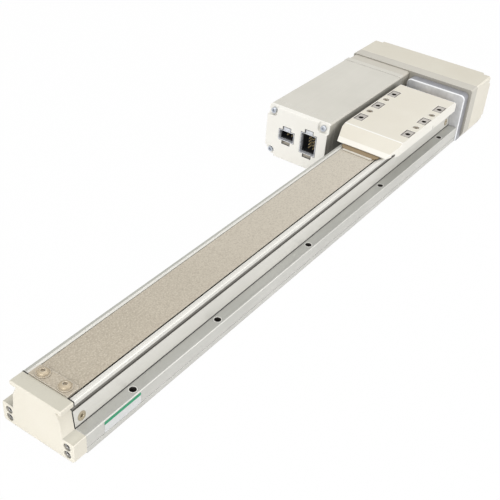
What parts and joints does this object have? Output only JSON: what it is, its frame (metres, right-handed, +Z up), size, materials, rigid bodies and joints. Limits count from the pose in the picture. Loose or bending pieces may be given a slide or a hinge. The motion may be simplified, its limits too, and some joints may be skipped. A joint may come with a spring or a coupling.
{
  "type": "electric slide actuator",
  "caption": "Slim ball screw slide with a table over a strip-covered rail and a motor folded back beside it, joined by a covered belt drive.",
  "frame": {"origin": "centre of the rail's bottom mounting face", "axes": "+X along the stroke from the idle end to the motor end, +Z up, motor on the +Y side"},
  "size_m": [0.55, 0.1225, 0.048],
  "materials": {
    "anodised_rail": "clear anodised, satin",
    "anodised_cover": "clear anodised, satin, bright edges",
    "cream_paint": "fine satin paint",
    "cream_plastic": "moulded, satin",
    "warm_grey_paint": "satin paint",
    "taupe_strip": "coated steel strip, satin",
    "bare_aluminium": "machined",
    "bright_screw": "plated steel",
    "hardened_steel": "ground",
    "brown_scraper": "moulded, matte",
    "white_lip": "moulded, matte",
    "black_plastic": "moulded, matte",
    "socket_shell": "plated sheet",
    "contact": "plated contact",
    "green_board": "circuit board",
    "rubber": "matte",
    "dark_steel": "laminated core"
  },
  "bodies": {
    "frame": {"base_rail": "anodised_rail", "left_raceway": "hardened_steel", "right_raceway": "hardened_steel", "left_side_cover": "anodised_cover", "right_side_cover": "anodised_cover", "side_cover_screws": "bright_screw", "front_end_cap": "cream_paint", "front_end_cap_screws": "bright_screw", "front_bearing_block": "bare_aluminium", "front_bearing": "hardened_steel", "front_damper": "rubber", "fixed_bearing_housing": "bare_aluminium", "fixed_bearings": "hardened_steel", "bearing_cover": "bare_aluminium", "rear_damper": "rubber", "rear_end_plate": "bare_aluminium", "end_plate_screws": "bright_screw", "dust_strip": "taupe_strip", "front_strip_clamp": "taupe_strip", "rear_strip_clamp": "taupe_strip", "strip_clamp_screws": "bright_screw", "motor_bracket": "warm_grey_paint", "bracket_screws": "bright_screw", "pulley_cover": "cream_plastic", "pulley_cover_screws": "bright_screw", "timing_belt": "rubber", "motor_flange": "warm_grey_paint", "motor_cover": "warm_grey_paint", "motor_ring": "warm_grey_paint", "motor_end_cover": "cream_plastic", "motor_end_screws": "bright_screw", "power_socket_shell": "socket_shell", "power_socket": "black_plastic", "power_pins": "contact", "signal_socket_shell": "socket_shell", "signal_socket": "black_plastic", "signal_pins": "contact", "motor_stator": "dark_steel", "motor_bearings": "hardened_steel", "encoder_board": "green_board"},
    "carriage": {"carriage_block": "hardened_steel", "carriage_end_caps": "black_plastic", "carriage_balls": "hardened_steel", "ball_nut": "hardened_steel", "saddle": "bare_aluminium", "table": "cream_paint", "table_screws": "bright_screw", "front_scraper": "brown_scraper", "rear_scraper": "brown_scraper", "front_wiper": "white_lip", "rear_wiper": "white_lip"},
    "screw": {"ball_screw": "hardened_steel", "bearing_nut": "hardened_steel", "screw_pulley": "bare_aluminium"},
    "rotor": {"motor_rotor": "hardened_steel", "motor_pulley": "bare_aluminium", "encoder_disc": "bare_aluminium"}
  },
  "joints": [
    {"name": "table_slide", "type": "slide", "parent": "frame", "child": "carriage", "axis": [1, 0, 0], "range_m": [-0.31, 0.002]},
    {"name": "screw_spin", "type": "hinge", "parent": "frame", "child": "screw", "pos_m": [0, 0, 0.014], "axis": [1, 0, 0], "range_deg": [-100, 11200]},
    {"name": "motor_spin", "type": "hinge", "parent": "frame", "child": "rotor", "pos_m": [0.2, 0.061, 0.0245], "axis": [1, 0, 0], "range_deg": [-100, 11200]}
  ],
  "couplings": [
    {"joint": "screw_spin", "follows": "table_slide", "rad_per_m": -628.32},
    {"joint": "motor_spin", "follows": "table_slide", "rad_per_m": -628.32}
  ]
}
